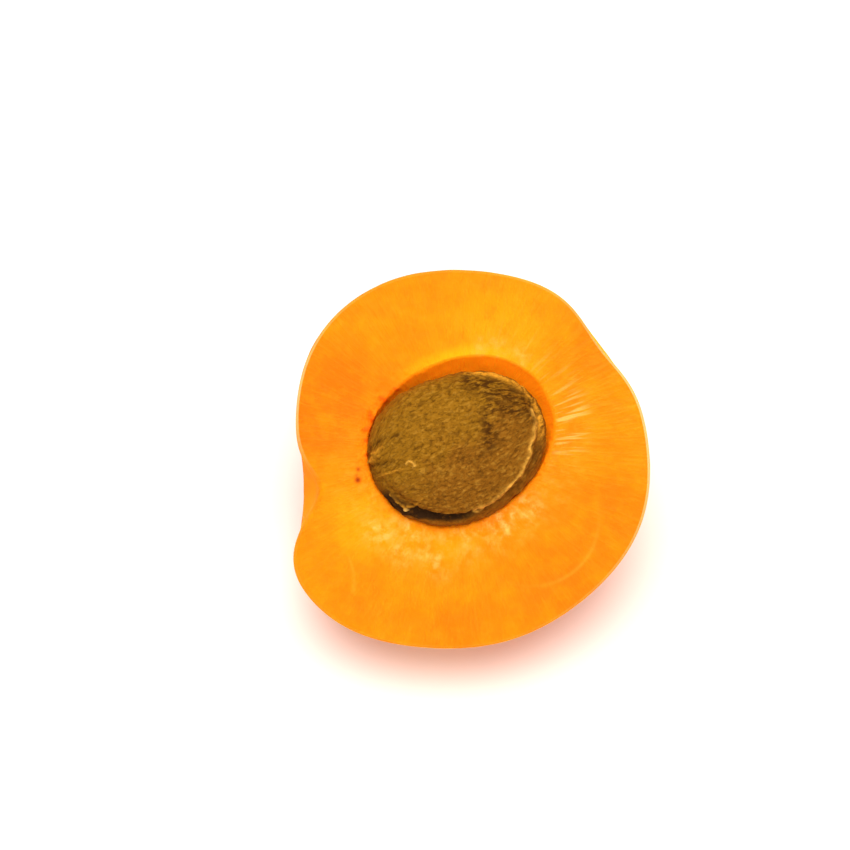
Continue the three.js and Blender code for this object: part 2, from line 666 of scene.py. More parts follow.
@dataclass(frozen=True)
class FleshFinish:
    """Moist orange flesh, with pale fibres and flecks round the stone."""

    orange: Colour = (0.92, 0.225, 0.002, 1.0)
    deep_orange: Colour = (0.92, 0.165, 0.002, 1.0)
    gold: Colour = (0.93, 0.30, 0.0025, 1.0)
    pale: Colour = (0.93, 0.42, 0.03, 1.0)
    cream: Colour = (0.94, 0.52, 0.12, 1.0)
    yellow: Colour = (0.94, 0.41, 0.004, 1.0)
    # A redder orange, painted brighter to stand in for light scattered through the flesh into the hollow.
    bed_wall_glow: Colour = (0.98, 0.225, 0.003, 1.0)
    skin_edge_and_sheen: Colour = (0.93, 0.44, 0.14, 1.0)
    torn: Colour = (0.86, 0.11, 0.002, 1.0)
    stain: Colour = (0.30, 0.018, 0.001, 1.0)
    # Sizes are of the patterns.
    mottle_size: float = 2.6
    fibre_size: float = 0.28
    streak_size: float = 1.0
    blob_size: float = 1.3
    strand_size: float = 0.4
    pore_size: float = 0.4
    streak_shortness: float = 9.0

    def make(self) -> bpy.types.Material:
        """Builds the material.

        Returns:
            The material.
        """
        shader = Shader("apricot_flesh")
        place = shader.place()
        grain = shader.painted_vector("grain")
        from_bed = shader.painted("from_bed")
        from_rim = shader.painted("from_rim")
        tint = shader.painted("tint")
        colour = shader.mix(shader.span(tint, 0.0, -1.0), self.orange, self.deep_orange)
        colour = shader.mix(shader.span(tint, 0.0, 1.0), colour, self.gold)
        mottled = shader.clouds(place, self.mottle_size, 5.0, 0.6)
        colour = shader.mix(shader.span(mottled, 0.42, 0.75, 0.0, 0.42), colour, self.gold)
        colour = shader.mix(shader.span(mottled, 0.52, 0.25, 0.0, 0.42), colour, self.deep_orange)
        fibres = shader.span(shader.clouds(grain, self.fibre_size, 2.0, 0.6), 0.42, 0.66)
        colour = shader.mix(shader.within("fibrous", fibres), colour, self.pale)
        shorter = {0: grain, 1: (1.0, 1.0, self.streak_shortness)}
        short_grain = shader.add("VectorMath", shorter, operation="MULTIPLY").outputs[0]
        streaks = shader.span(shader.clouds(short_grain, self.streak_size, 2.0, 0.6), 0.36, 0.68, 0.3, 1.0)
        blobs = shader.span(shader.clouds(place, self.blob_size, 3.0, 0.6), 0.36, 0.70)
        flecks = shader.within("flecked", shader.math("MULTIPLY", streaks, blobs))
        colour = shader.mix(shader.painted("haloed"), colour, self.yellow)
        colour = shader.mix(flecks, colour, self.cream)
        strands = shader.span(shader.clouds(grain, self.strand_size, 1.0), 0.50, 0.70)
        strands = shader.within("stranded", strands)
        colour = shader.mix(strands, colour, self.cream)
        # The bed's wall, painted brighter to stand in for light scattered through the flesh.
        colour = shader.mix(shader.span(from_bed, 0.22, -0.35), colour, self.bed_wall_glow)
        colour = shader.mix(shader.painted("veined"), colour, self.pale)
        colour = shader.mix(shader.painted("torn"), colour, self.torn)
        colour = shader.mix(shader.painted("stained"), colour, self.stain)
        # The skin's pale edge at the rim: its own colour, partly a painted highlight of its fuzz.
        edge = shader.within("edged", shader.span(from_rim, 0.32, 0.10))
        colour = shader.mix(edge, colour, self.skin_edge_and_sheen)
        relief = shader.bump(shader.clouds(place, self.pore_size, 4.0, 0.65), 0.05)
        relief = shader.bump(fibres, 0.03, relief)
        relief = shader.bump(flecks, 0.05, relief)
        return shader.finish(
            Base_Color=colour,
            Normal=relief,
            Roughness=0.45,
            Specular_IOR_Level=0.025,
            Subsurface_Weight=0.4,
            Subsurface_Radius=(1.0, 0.35, 0.06),
            Subsurface_Scale=2.0 * MM,
        )


@dataclass(frozen=True)
class SkinFinish:
    """Velvety yellow-orange skin, with a red blush on one side."""

    gold: Colour = (0.95, 0.38, 0.005, 1.0)
    orange: Colour = (0.95, 0.23, 0.003, 1.0)
    blush: Colour = (0.93, 0.10, 0.004, 1.0)
    rose: Colour = (0.94, 0.17, 0.03, 1.0)
    freckle: Colour = (0.96, 0.44, 0.035, 1.0)
    hollow: Colour = (0.93, 0.26, 0.002, 1.0)
    scar: Colour = (0.30, 0.13, 0.02, 1.0)
    # Sizes are of the patterns.
    cloud_size: float = 12.0
    freckle_gap: float = 1.3
    mottle_size: float = 0.8
    scar_size: float = 0.5
    down_size: float = 0.35
    blush_drift: float = 0.9

    def make(self) -> bpy.types.Material:
        """Builds the material.

        Returns:
            The material.
        """
        shader = Shader("apricot_skin")
        place = shader.place()
        cloud = shader.clouds(place, self.cloud_size, 3.0, 0.55)
        colour = shader.mix(shader.span(cloud, 0.3, 0.7), self.gold, self.orange)
        drift = shader.math("MULTIPLY", shader.math("SUBTRACT", cloud, 0.5), self.blush_drift)
        edge = shader.math("ADD", shader.painted("blushed"), drift)
        colour = shader.mix(shader.span(edge, 0.15, 0.95), colour, self.blush)
        colour = shader.mix(shader.span(edge, 0.75, 1.15, 0.0, 0.7), colour, self.rose)
        freckles = shader.span(shader.cells(place, self.freckle_gap), 0.16, 0.05, 0.0, 0.45)
        colour = shader.mix(freckles, colour, self.freckle)
        mottle = shader.span(shader.clouds(place, self.mottle_size, 3.0, 0.6), 0.45, 0.75, 0.0, 0.25)
        colour = shader.mix(mottle, colour, self.freckle)
        colour = shader.mix(shader.painted("hollowed"), colour, self.hollow)
        torn = shader.span(shader.clouds(place, self.scar_size, 3.0, 0.6), 0.35, 0.55, 0.35, 1.0)
        colour = shader.mix(shader.within("scarred", torn), colour, self.scar)
        relief = shader.bump(shader.clouds(place, self.down_size, 3.0, 0.6), 0.02)
        return shader.finish(
            Base_Color=colour,
            Normal=relief,
            Roughness=0.7,
            Specular_IOR_Level=0.01,
            Sheen_Weight=0.05,
            Sheen_Roughness=0.45,
            Sheen_Tint=(1.0, 0.62, 0.34, 1.0),
            Subsurface_Weight=0.6,
            Subsurface_Radius=(1.0, 0.3, 0.06),
            Subsurface_Scale=7.0 * MM,
        )


@dataclass(frozen=True)
class StoneFinish:
    """A rough brown woody shell, pale on its ridges, with painted highlights on crests and painted shade in
    its furrow.
    """

    brown: Colour = (0.238, 0.084, 0.004, 1.0)
    olive: Colour = (0.275, 0.113, 0.004, 1.0)
    # A painted highlight, laid on the wrinkles' crests.
    golden_highlight: Colour = (0.45, 0.21, 0.022, 1.0)
    # The shell's dark strands, and painted shade in the wrinkles' pits, creases and grooves.
    dark: Colour = (0.070, 0.022, 0.001, 1.0)
    rust: Colour = (0.30, 0.085, 0.003, 1.0)
    straw: Colour = (0.80, 0.38, 0.050, 1.0)
    amber: Colour = (0.78, 0.32, 0.022, 1.0)
    cream: Colour = (0.86, 0.48, 0.11, 1.0)
    # Painted shade for the furrow's recess, with some stain.
    shade_black: Colour = (0.035, 0.013, 0.003, 1.0)
    # Sizes are of the patterns.
    patch_size: float = 3.4
    ridge_wear_size: float = 1.2
    wrinkle_size: float = 0.32
    crease_size: float = 0.65
    rust_size: float = 0.9
    strand_size: float = 0.6
    stain_and_shade_size: float = 0.7
    edge_wear_size: float = 0.9
    pore_size: float = 0.16
    crease_shade_strength: float = 0.32

    def make(self) -> bpy.types.Material:
        """Builds the material.

        Returns:
            The material.
        """
        shader = Shader("stone_shell")
        place = shader.place()
        along = shader.painted_vector("along")
        raised = shader.painted("raised")
        # Painted light: the stone is painted lighter and more olive on one side, browner on the other, with
        # patches.
        broad = shader.math("ADD", shader.painted("lit_side"), shader.clouds(place, self.patch_size, 3.0, 0.55))
        worn = shader.span(shader.clouds(place, self.ridge_wear_size, 3.0), 0.36, 0.56, 0.30, 1.0)
        colour = shader.mix(shader.span(broad, 0.75, 1.30), self.brown, self.olive)
        wrinkles = shader.clouds(along, self.wrinkle_size, 4.0, 0.7, 0.5)
        # Lighter on wrinkle crests, darker in pits: the shell's grain, partly painted highlight and shade.
        colour = shader.mix(shader.span(raised, 0.52, 0.85, 0.0, 0.4), colour, self.golden_highlight)
        colour = shader.mix(shader.span(raised, 0.45, 0.15, 0.0, 0.5), colour, self.dark)
        colour = shader.mix(shader.span(wrinkles, 0.52, 0.72, 0.0, 0.5), colour, self.golden_highlight)
        colour = shader.mix(shader.span(wrinkles, 0.46, 0.28, 0.0, 0.5), colour, self.dark)
        # The fine creases are painted darker: painted shade, beside their dent in the relief.
        crossing = shader.math("SUBTRACT", shader.clouds(along, self.crease_size, 3.0, 0.6, 0.4), 0.5)
        creases = shader.span(shader.math("ABSOLUTE", crossing), 0.035, 0.0, 0.0, 1.0)
        colour = shader.mix(shader.math("MULTIPLY", creases, self.crease_shade_strength), colour, self.dark)
        rust = shader.span(shader.clouds(place, self.rust_size, 3.0, 0.6), 0.35, 0.60, 0.35, 1.0)
        colour = shader.mix(shader.within("rusty", rust), colour, self.rust)
        strands = shader.span(shader.clouds(along, self.strand_size, 3.0, 0.6), 0.40, 0.57)
        # Dark strands, with painted shade in the base grooves.
        colour = shader.mix(shader.within("dark_strands_and_shade", strands), colour, self.dark)
        # The furrow is painted near black: painted shade in its recess, with some stain.
        ragged = shader.span(shader.clouds(place, self.stain_and_shade_size, 3.0, 0.6), 0.30, 0.50, 0.72, 1.0)
        colour = shader.mix(shader.within("shaded_furrow", ragged), colour, self.shade_black)
        colour = shader.mix(shader.within("on_ridge", worn), colour, self.straw)
        worn = shader.span(shader.clouds(place, self.edge_wear_size, 4.0, 0.65), 0.38, 0.56, 0.2, 1.0)
        colour = shader.mix(shader.within("amber_edged", worn), colour, self.amber)
        colour = shader.mix(shader.painted("chipped"), colour, self.cream)
        relief = shader.bump(wrinkles, 0.16)
        relief = shader.bump(creases, -0.04, relief)
        relief = shader.bump(shader.clouds(place, self.pore_size, 3.0, 0.6), 0.04, relief)
        return shader.finish(Base_Color=colour, Normal=relief, Roughness=0.65, Specular_IOR_Level=0.05)


@dataclass
class FruitHalf:
    """The flesh with its skin: one closed surface, up the skin, in across the face and into the bed."""

    lying: Lying
    skin: SkinShape = field(default_factory=SkinShape)
    bed: BedShape = field(default_factory=BedShape)
    columns: int = 140
    rows: int = 74
    cuts: int = 2
    # The rim is rounded, and more so at the stem hollow.
    rim_fillet: float = 0.32
    stem_fillet: Side = Side(STEM_BEARING, 16.0, 1.1)
    lip_fillet: float = 0.6
    # How far the rounded lip turns down before the bed's wall goes on from it.
    lip_slope: float = 48.0
    # Where each stretch of the surface ends, as a share of the rows from the cheek to the bed's floor.
    skin_end: float = 0.34
    rim_end: float = 0.38
    face_end: float = 0.80
    lip_end: float = 0.84
    torn_barbs: tuple[Mark, ...] = (
        Mark(((-4.0, 12.1), (-4.4, 12.6)), (0.3, 0.06), 0.15),
        Mark(((-6.1, 11.6), (-6.6, 12.3)), (0.46, 0.08), 0.3),
        Mark(((-8.7, 9.9), (-8.75, 10.5), (-8.5, 11.2)), (0.6, 0.08), 0.35),
        Mark(((-9.5, 9.1), (-10.45, 9.35)), (0.5, 0.07), 0.3),
        Mark(((-10.4, 7.7), (-10.8, 8.0)), (0.45, 0.08), 0.2),
        Mark(((-11.2, 5.9), (-11.5, 6.2)), (0.4, 0.07), 0.2),
    )
    vein: Mark = Mark(((-19.2, -5.2), (-19.5, -7.4), (-20.6, -9.6)), (0.15, 0.25), 0.7)
    grain_round: float = 14.0
    grain_length: float = 13.0
    # The shares of the rows over which the torn flesh and the wall's lumps come in.
    torn_reach: float = 0.10
    wall_start: float = 0.02
    # The skin stays smooth this near the surface that the half lies on.
    pressed_height: float = 0.2
    skin_lumps: float = 0.8
    clean_spread: float = 62.0
    barb_depth: float = 0.6
    # The reach of each mark is its distance out from the bed's mouth. The flecks are where the flesh clung.
    fleck_reach: Band = Band((0.3, 1.2), (3.0, 7.5))
    fleck_side: Side = Side(-112.0, 66.0, 0.3)
    fleck_spots: tuple[Spot, ...] = (
        Spot(-14.3, -3.6, 1.7, 0.8),
        Spot(-10.1, -5.4, 1.4, 1.0),
        Spot(1.2, -9.4, 1.6, 1.0),
        Spot(4.7, -9.1, 1.5, 0.9),
        Spot(-9.2, -9.9, 1.6, 0.4),
        Spot(-8.5, -12.2, 1.6, 0.2),
        Spot(-13.0, -7.9, 1.6, 0.4),
        Spot(-4.0, -8.6, 1.6, 0.35),
        Spot(9.2, 11.7, 1.7, 0.75),
        Spot(12.3, 9.1, 1.6, 0.5),
    )
    most_flecked: float = 0.85
    halo_reach: Band = Band((-0.2, 0.3), (0.5, 2.4))
    halo_side: Side = Side(64.0, 34.0, 0.9)
    strand_reach: Band = Band((0.1, 1.2), (3.0, 6.0))
    strand_sides: tuple[Side, ...] = (Side(-13.0, 17.0), Side(25.0, 22.0, 0.2))
    strand_strength: float = 0.66
    least_fibrous: float = 0.04
    fibre_strength: float = 0.12
    # The skin's pale edge, its own colour and partly a painted highlight of its fuzz; none at the stem.
    edge_sides: tuple[Side, ...] = (Side(-15.0, 40.0), Side(132.0, 22.0, 0.8))
    least_edge: float = 0.05
    plain_side: Side = Side(STEM_BEARING, 11.0)
    # How golden the flesh is, or how deep an orange where a strength is below zero.
    tint_spots: tuple[Spot, ...] = (
        Spot(10.9, 12.2, 8.0, 1.0),
        Spot(-17.0, -1.5, 5.5, 0.9),
        Spot(-12.7, -7.1, 5.5, 0.5),
        Spot(-16.5, 12.2, 4.5, -0.9),
        Spot(-22.5, -0.6, 3.5, -0.6),
        Spot(-19.5, -9.5, 5.0, -0.6),
        Spot(15.1, -13.5, 6.0, -0.7),
        Spot(-5.5, -9.5, 4.0, 0.6),
        Spot(-10.7, 15.9, 6.0, -1.0),
        Spot(-5.1, 11.1, 2.8, -0.8),
        Spot(4.2, -20.8, 8.0, -0.8),
        Spot(-11.1, -19.4, 6.0, -0.6),
        Spot(21.4, 6.8, 5.0, -0.8),
    )
    # Small brown bruises, beside the bed and at the stem.
    bruises: tuple[Spot, ...] = (
        Spot(-13.15, 4.85, 0.30, 0.75),
        Spot(-13.8, 3.6, 0.42, 1.0),
        Spot(-13.7, 4.25, 0.22, 0.35),
        Spot(-19.2, 4.4, 0.3, 0.35),
        Spot(-19.5, 3.3, 0.25, 0.3),
    )
    vein_strength: float = 0.28
    # The faint vein inside the rim below the tip: its radius, its middle, how it bows, and its side.
    arc_radius: float = 20.6
    arc_middle: float = -66.0
    arc_bow: float = 0.0042
    arc_width: float = 0.22
    arc_side: Side = Side(-68.0, 18.0)
    # The blush deepens as a place on the skin comes nearer to this direction.
    blush_axis: tuple[float, float, float] = (-0.2, 0.5, -0.843)
    blush_reach: tuple[float, float] = (0.05, 0.85)
    hollow_spread: float = 19.0
    hollow_strength: float = 0.9
    scar_spread: float = 3.4
    scar_strength: float = 0.8
    scar_drop: tuple[float, float] = (0.1, 0.6)

    def build(self) -> bpy.types.Object:
        """Builds the half.

        Returns:
            The finished piece.
        """
        piece, bearing, latitude = add_sphere("apricot_half", self.columns, self.rows, self.cuts)
        share = (latitude + 90.0) / 180.0
        points = self.points(bearing, share)
        raised = np.zeros_like(points)
        raised[:, 2] = self.barbs(points)[1] * (share > self.rim_end)
        set_points(piece, self.lying.placed(points + raised))
        self.add_lumps(piece, bearing, share, points)
        self.paint_masks(piece, share, points)
        self.dress(piece, share)
        return piece

    @property
    def down(self) -> np.ndarray:
        """The direction of the surface that the half lies on, in the fruit's own frame."""
        return self.lying.axes @ np.array([0.0, 0.0, -1.0])

    def points(self, bearing: np.ndarray, share: np.ndarray) -> np.ndarray:
        """The surface's points, before its lumps.

        Args:
            bearing: Each vertex's bearing.
            share: How far each vertex is from the cheek, 0, to the bed's floor, 1.

        Returns:
            Points in the fruit's own frame.
        """
        fillet = self.rim_fillet + self.stem_fillet.nearness(bearing)
        rim_latitude = -np.degrees(np.arctan2(fillet, self.skin.round.mean))
        stretch = np.clip(share / self.skin_end, 0.0, 1.0)
        skin = self.skin.points(bearing, lerp(np.full_like(bearing, -90.0), rim_latitude, stretch))
        below = np.maximum(0.0, skin @ self.down - self.lying.face_centre[2])
        skin = skin - below[:, None] * self.down
        edge = self.skin.points(bearing, rim_latitude)
        edge_radius = np.hypot(edge[:, 0], edge[:, 1])
        drop = -edge[:, 2]
        round_turn = 90.0 * progress(share, self.skin_end, self.rim_end)
        rim_radius = edge_radius - drop * (1.0 - cosine(round_turn))
        rim = ring((0.0, 0.0), bearing, rim_radius, drop * (sine(round_turn) - 1.0))
        centre = self.bed.stone.centre[:2]
        level = np.zeros_like(bearing)
        mouth = self.bed.mouth_radius(bearing)
        lip_turn = self.lip_slope * progress(share, self.face_end, self.lip_end)
        lip_radius = mouth + self.lip_fillet * (sine(self.lip_slope) - sine(lip_turn))
        lip = ring(centre, bearing, lip_radius, self.lip_fillet * (cosine(lip_turn) - 1.0))
        across = progress(share, self.rim_end, self.face_end)
        rim_top = ring((0.0, 0.0), bearing, edge_radius - drop, level)
        lip_top = ring(centre, bearing, mouth + self.lip_fillet * sine(self.lip_slope), level)
        face = lerp(rim_top, lip_top, across[:, None])
        down_bed = progress(share, self.lip_end, 1.0)
        bed = self.bed.points(bearing, lerp(self.bed.lip_latitude, -90.0, down_bed))
        ends = (self.skin_end, self.rim_end, self.face_end, self.lip_end)
        return np.select([share[:, None] < end for end in ends], [skin, rim, face, lip], bed)

    def add_lumps(self, piece: bpy.types.Object, bearing: np.ndarray, share: np.ndarray,
                  points: np.ndarray) -> None:
        """Raises the lumps of the skin, the face, the torn flesh and the bed's wall.

        Args:
            piece: The half.
            bearing: Each vertex's bearing.
            share: How far each vertex is from the cheek, 0, to the bed's floor, 1.
            points: Each vertex's place, in the fruit's own frame.
        """
        pressed = points @ self.down > self.lying.face_centre[2] - self.pressed_height
        on_skin = (share < self.skin_end) & ~pressed
        on_wall = smooth_step(share, self.lip_end, self.lip_end + self.wall_start)
        on_face = (1.0 - on_wall) * smooth_step(share, self.skin_end, self.rim_end)
        clinging = 1.0 - hill(turn_from(self.bed.widest, bearing), self.clean_spread)
        torn = on_face * clinging * smooth_step(share, self.face_end - self.torn_reach, self.face_end)
        roughen(piece, 7.0, 0.35, self.skin_lumps * on_skin)
        roughen(piece, 5.0, 0.28, on_face)
        roughen(piece, 1.2, 0.12, on_face)
        roughen(piece, 0.6, 0.35, torn)
        roughen(piece, 0.9, 0.25, on_wall)

    def paint_masks(self, piece: bpy.types.Object, share: np.ndarray, points: np.ndarray) -> None:
        """Keeps where the rim, the bed and the marks are, for the materials.

        Args:
            piece: The half.
            share: How far each vertex is from the cheek, 0, to the bed's floor, 1.
            points: Each vertex's place, in the fruit's own frame.
        """
        offset = points[:, :2] - np.array(self.bed.stone.centre[:2])
        stone_bearing = bearing_of(offset)
        from_bed = np.hypot(*offset.T) - self.bed.mouth_radius(stone_bearing)
        from_bed = np.where(share > self.face_end, np.minimum(from_bed, points[:, 2]), from_bed)
        rim = self.skin.points(bearing_of(points), np.zeros(len(points)))
        from_rim = np.where(share < self.rim_end, points[:, 2] - self.rim_fillet, 0.0)
        from_rim = from_rim + np.hypot(rim[:, 0], rim[:, 1]) - np.hypot(points[:, 0], points[:, 1])
        paint(piece, "from_bed", from_bed)
        paint(piece, "from_rim", from_rim)
        bruised = np.clip(spotted(self.bruises, points), 0.0, 1.0)
        paint(piece, "stained", bruised * (share > self.skin_end))
        round_bed = np.column_stack([cosine(stone_bearing), sine(stone_bearing)]) * self.grain_round
        paint_vectors(piece, "grain", np.column_stack([round_bed, from_bed / self.grain_length]))
        self.paint_bed_marks(piece, points, from_bed, stone_bearing)
        self.paint_face_marks(piece, points)
        self.paint_skin_marks(piece, points)

    def paint_bed_marks(self, piece: bpy.types.Object, points: np.ndarray, from_bed: np.ndarray,
                        stone_bearing: np.ndarray) -> None:
        """Keeps where the flecks, the yellow edge and the strands round the bed are.

        Args:
            piece: The half.
            points: Each vertex's place, in the fruit's own frame.
            from_bed: Each vertex's distance out from the bed's mouth.
            stone_bearing: Each vertex's bearing from the stone's middle.
        """
        flecks = self.fleck_reach.share(from_bed) * self.fleck_side.nearness(stone_bearing)
        flecks = flecks + spotted(self.fleck_spots, points)
        fibrous = np.clip(sum(side.nearness(stone_bearing) for side in self.strand_sides), 0.0, 1.0)
        paint(piece, "flecked", np.clip(flecks, 0.0, self.most_flecked))
        paint(piece, "haloed", self.halo_reach.share(from_bed) * self.halo_side.nearness(stone_bearing))
        paint(piece, "stranded", self.strand_strength * self.strand_reach.share(from_bed) * fibrous)
        paint(piece, "fibrous", self.least_fibrous + self.fibre_strength * fibrous)

    def paint_face_marks(self, piece: bpy.types.Object, points: np.ndarray) -> None:
        """Keeps the face's tint, and where its pale edge, its veins and the torn barbs are.

        Args:
            piece: The half.
            points: Each vertex's place, in the fruit's own frame.
        """
        bearing = bearing_of(points)
        # The skin's pale edge, partly a painted highlight of its fuzz, strongest on two sides.
        edge = np.clip(self.least_edge + sum(side.nearness(bearing) for side in self.edge_sides), 0.0, 1.0)
        veins = np.maximum(self.arc(points), self.vein.height * self.vein.nearness(points))
        paint(piece, "edged", edge * (1.0 - self.plain_side.nearness(bearing)))
        paint(piece, "torn", self.barbs(points)[0])
        paint(piece, "tint", np.clip(spotted(self.tint_spots, points), -1.0, 1.0))
        paint(piece, "veined", self.vein_strength * veins)

    def paint_skin_marks(self, piece: bpy.types.Object, points: np.ndarray) -> None:
        """Keeps where the blush, the stem hollow and its scar are.

        Args:
            piece: The half.
            points: Each vertex's place, in the fruit's own frame.
        """
        towards = points / np.linalg.norm(points, axis=1)[:, None]
        from_stem = angle_from(STEM_BEARING, towards)
        scar = self.scar_strength * hill(from_stem, self.scar_spread)
        paint(piece, "blushed", smooth_step(towards @ np.array(self.blush_axis), *self.blush_reach))
        paint(piece, "hollowed", self.hollow_strength * hill(from_stem, self.hollow_spread))
        paint(piece, "scarred", scar * smooth_step(-points[:, 2], *self.scar_drop))

    def arc(self, points: np.ndarray) -> np.ndarray:
        """Finds the faint vein that runs inside the rim, below the tip.

        Args:
            points: Points in the fruit's own frame.

        Returns:
            For each point, 1 on the vein and 0 away from it.
        """
        bearing = bearing_of(points)
        line = self.arc_radius - self.arc_bow * (bearing - self.arc_middle) ** 2
        away = np.hypot(points[:, 0], points[:, 1]) - line
        return hill(away, self.arc_width) * self.arc_side.nearness(bearing)

    def barbs(self, points: np.ndarray) -> tuple[np.ndarray, np.ndarray]:
        """The torn barbs along the bed's lip, where the stone's fibres pulled out of the flesh.

        Args:
            points: Points in the fruit's own frame.

        Returns:
            For each point, 1 on a barb and 0 away from it, and how far the barb raises it.
        """
        nearness = np.zeros(len(points))
        raised = np.zeros(len(points))
        for mark in self.torn_barbs:
            near = mark.nearness(points) * (points[:, 2] > -self.barb_depth)
            nearness = np.maximum(nearness, near)
            raised = np.maximum(raised, mark.height * near)
        return nearness, raised

    def dress(self, piece: bpy.types.Object, share: np.ndarray) -> None:
        """Gives the outside the skin's finish and the rest the flesh's.

        Args:
            piece: The half.
            share: How far each vertex is from the cheek, 0, to the bed's floor, 1.
        """
        piece.data.materials.clear()
        piece.data.materials.append(FleshFinish().make())
        piece.data.materials.append(SkinFinish().make())
        limit = self.skin_end + 0.5 * (self.rim_end - self.skin_end)
        for polygon in piece.data.polygons:
            polygon.use_smooth = True
            if max(share[i] for i in polygon.vertices) < limit:
                polygon.material_index = 1


@dataclass
class Stone:
    """The woody stone. Its marks are placed from its own middle."""

    lying: Lying
    shape: StoneShape = field(default_factory=StoneShape)
    columns: int = 132
    rows: int = 72
    cuts: int = 2
    crowding: float = 1.25
    wrinkle_size: float = 0.45
    wrinkle_height: float = 0.15
    # The wrinkles are this much longer along the stone than across it, and bow between its ends.
    wrinkle_stretch: float = 1.8
    half_length: float = 12.6
    least_bow: float = 0.25
    # The marks' lines waver by about this much.
    waver: float = 0.16
    waver_size: float = 1.1
    # The oval whose outward direction the relief follows.
    half_sizes: tuple[float, float, float] = (11.5, 9.8, 5.8)
    # The marks are on the upper side alone, and come in over this height.
    upper_rise: float = 0.6
    lump_side: tuple[float, float] = (5.0, 22.0)
    ridge: Mark = Mark(
        (
            (10.8, 0.2), (10.6, -1.3), (9.2, -3.4), (6.8, -5.95),
            (5.0, -7.1), (2.1, -8.05), (0.5, -8.35), (-1.4, -8.45),
        ),
        (0.24, 0.19),
        0.2,
    )
    base_ridges: tuple[Mark, ...] = (
        Mark(((-11.5, 3.3), (-10.9, 3.1), (-10.3, 3.45), (-9.7, 3.3)), (0.3, 0.14), 0.3),
        Mark(((-10.3, 3.95), (-9.6, 3.8), (-9.0, 4.1), (-8.5, 4.0)), (0.2, 0.1), 0.25),
        Mark(((-11.1, 0.8), (-10.1, 0.85), (-9.2, 0.62), (-8.4, 0.68), (-7.6, 0.4)), (0.22, 0.12), 0.25),
        Mark(((-9.1, -4.3), (-8.3, -4.5), (-7.5, -4.35), (-6.8, -4.1)), (0.17, 0.08), 0.15),
        Mark(((-10.5, -1.9), (-10.1, -2.6), (-9.95, -3.3), (-9.6, -3.9), (-9.5, -4.5)), (0.1, 0.2), 0.2),
    )
    hook: Mark = Mark(
        ((-7.0, 0.75), (-6.45, 0.95), (-6.0, 0.67), (-5.9, 0.2), (-6.25, 0.1)), (0.13, 0.11), 0.2
    )
    base_grooves: tuple[Mark, ...] = (
        Mark(((-10.9, 4.3), (-9.6, 4.95), (-8.5, 5.05), (-6.3, 4.75)), (0.5, 0.25), -0.25),
        Mark(((-11.7, 2.5), (-10.6, 2.4), (-9.0, 2.0), (-8.1, 1.2)), (0.34, 0.3), -0.25),
    )
    dark_streaks: tuple[Mark, ...] = (
        Mark(((5.0, 7.4), (8.0, 4.9), (9.8, 2.2), (11.2, -0.4)), (1.5, 1.3)),
        Mark(((7.2, 2.6), (9.0, 0.8)), (1.0, 0.8)),
        Mark(((6.4, 3.4), (5.0, 1.0), (3.8, -1.5)), (1.3, 0.9)),
        Mark(((5.9, 5.3), (7.6, 4.2), (9.5, 2.6)), (0.7, 0.6)),
    )
    chip: Mark = Mark(((-9.35, -4.7), (-9.6, -4.35)), (0.15, 0.09), 0.3)
    base_ridge_strength: float = 0.6
    # The base grooves are painted darker: painted shade in their dents.
    groove_shade: float = 0.8
    # The furrow's margin on the tip's side is dark too. Each pair is a latitude and its spread.
    margin_side: Side = Side(-25.0, 42.0, 0.6)
    margin_rows: tuple[float, float] = (14.0, 9.0)
    rust_rows: tuple[float, float] = (2.0, 15.0)
    rust_strength: float = 0.75
    # The side that is painted lighter, as painted light, and how far the change reaches.
    lit_side_way: tuple[float, float] = (-0.34, 0.94)
    lit_side_reach: float = 7.0
    # The thin rim round the tip end.
    clinging_bearing: float = 20.0
    clinging_ends: tuple[float, float] = (28.0, 48.0)
    clinging_rows: tuple[float, float] = (14.0, 5.5)
    clinging_height: float = 0.25
    # The furrow's black is painted shade in its recess, with some stain.
    # The black part of the furrow: its turns from a bearing, the turns over which it steps down towards
    # the stem, and its lowest and highest latitudes before and after that step.
    black_bearing: float = -140.0
    black_turns: Band = Band((-38.0, -29.0), (24.0, 56.0))
    black_step: tuple[float, float] = (-6.0, 24.0)
    black_lowest: tuple[float, float] = (12.0, -2.0)
    black_highest: tuple[float, float] = (30.0, 19.5)

    def build(self) -> bpy.types.Object:
        """Builds the stone.

        Returns:
            The finished piece.
        """
        piece, bearing, latitude = add_sphere("apricot_stone", self.columns, self.rows, self.cuts)
        latitude = 90.0 * np.sign(latitude) * np.abs(latitude / 90.0) ** self.crowding
        points = self.shape.points(bearing, latitude)
        local = points - np.array(self.shape.centre)
        bow = np.sqrt(np.maximum(self.least_bow, 1.0 - (local[:, 0] / self.half_length) ** 2))
        along = np.column_stack([local[:, 0] / self.wrinkle_stretch, local[:, 1] / bow, local[:, 2] / bow])
        wrinkles = noise_at(along, self.wrinkle_size)
        wobble = np.column_stack([noise_at(local + shift, self.waver_size, 2) for shift in (0.0, 37.0)])
        marked = local.copy()
        marked[:, :2] += self.waver * wobble
        outwards = local / np.array(self.half_sizes) ** 2
        outwards = outwards / np.linalg.norm(outwards, axis=1)[:, None]
        height = self.wrinkle_height * wrinkles
        upper = smooth_step(local[:, 2], 0.0, self.upper_rise)
        for mark in (self.ridge, self.hook, *self.base_ridges, *self.base_grooves, self.chip):
            height = height + mark.height * mark.nearness(marked) * upper
        height = height + self.clinging_height * self.tip_edge(bearing, latitude)
        set_points(piece, self.lying.placed(points + outwards * height[:, None]))
        roughen(piece, 2.6, 0.4, np.ones(len(points)))
        roughen(piece, 1.3, 0.28, hill(latitude - self.lump_side[0], self.lump_side[1]))
        self.paint_masks(piece, bearing, latitude, marked)
